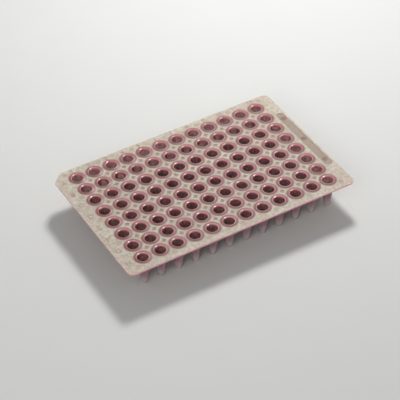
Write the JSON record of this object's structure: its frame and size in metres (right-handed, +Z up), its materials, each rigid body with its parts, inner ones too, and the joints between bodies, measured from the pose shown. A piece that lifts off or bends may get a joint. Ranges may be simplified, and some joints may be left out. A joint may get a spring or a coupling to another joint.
{
  "type": "well plate",
  "caption": "Low, unskirted plate of small conical sample wells moulded under a flat deck, with raised sealing rims, one cut-off corner and row and column labels.",
  "frame": {"origin": "centre of the deck's outline seen from above, at the level of the well tips that the plate stands on", "axes": "+Z up, out of the wells; +X along the rows, from column 1 to column 12; +Y across them, from row H to row A, so that the cut-off corner beside well A1 is at -X +Y"},
  "size_m": [0.1202, 0.0784, 0.016],
  "materials": {
    "tinted_polypropylene": "translucent rose-tinted polypropylene, frosted off-white over the deck and smooth in the wells"
  },
  "bodies": {
    "root": {"well_plate": "tinted_polypropylene"}
  },
  "joints": []
}
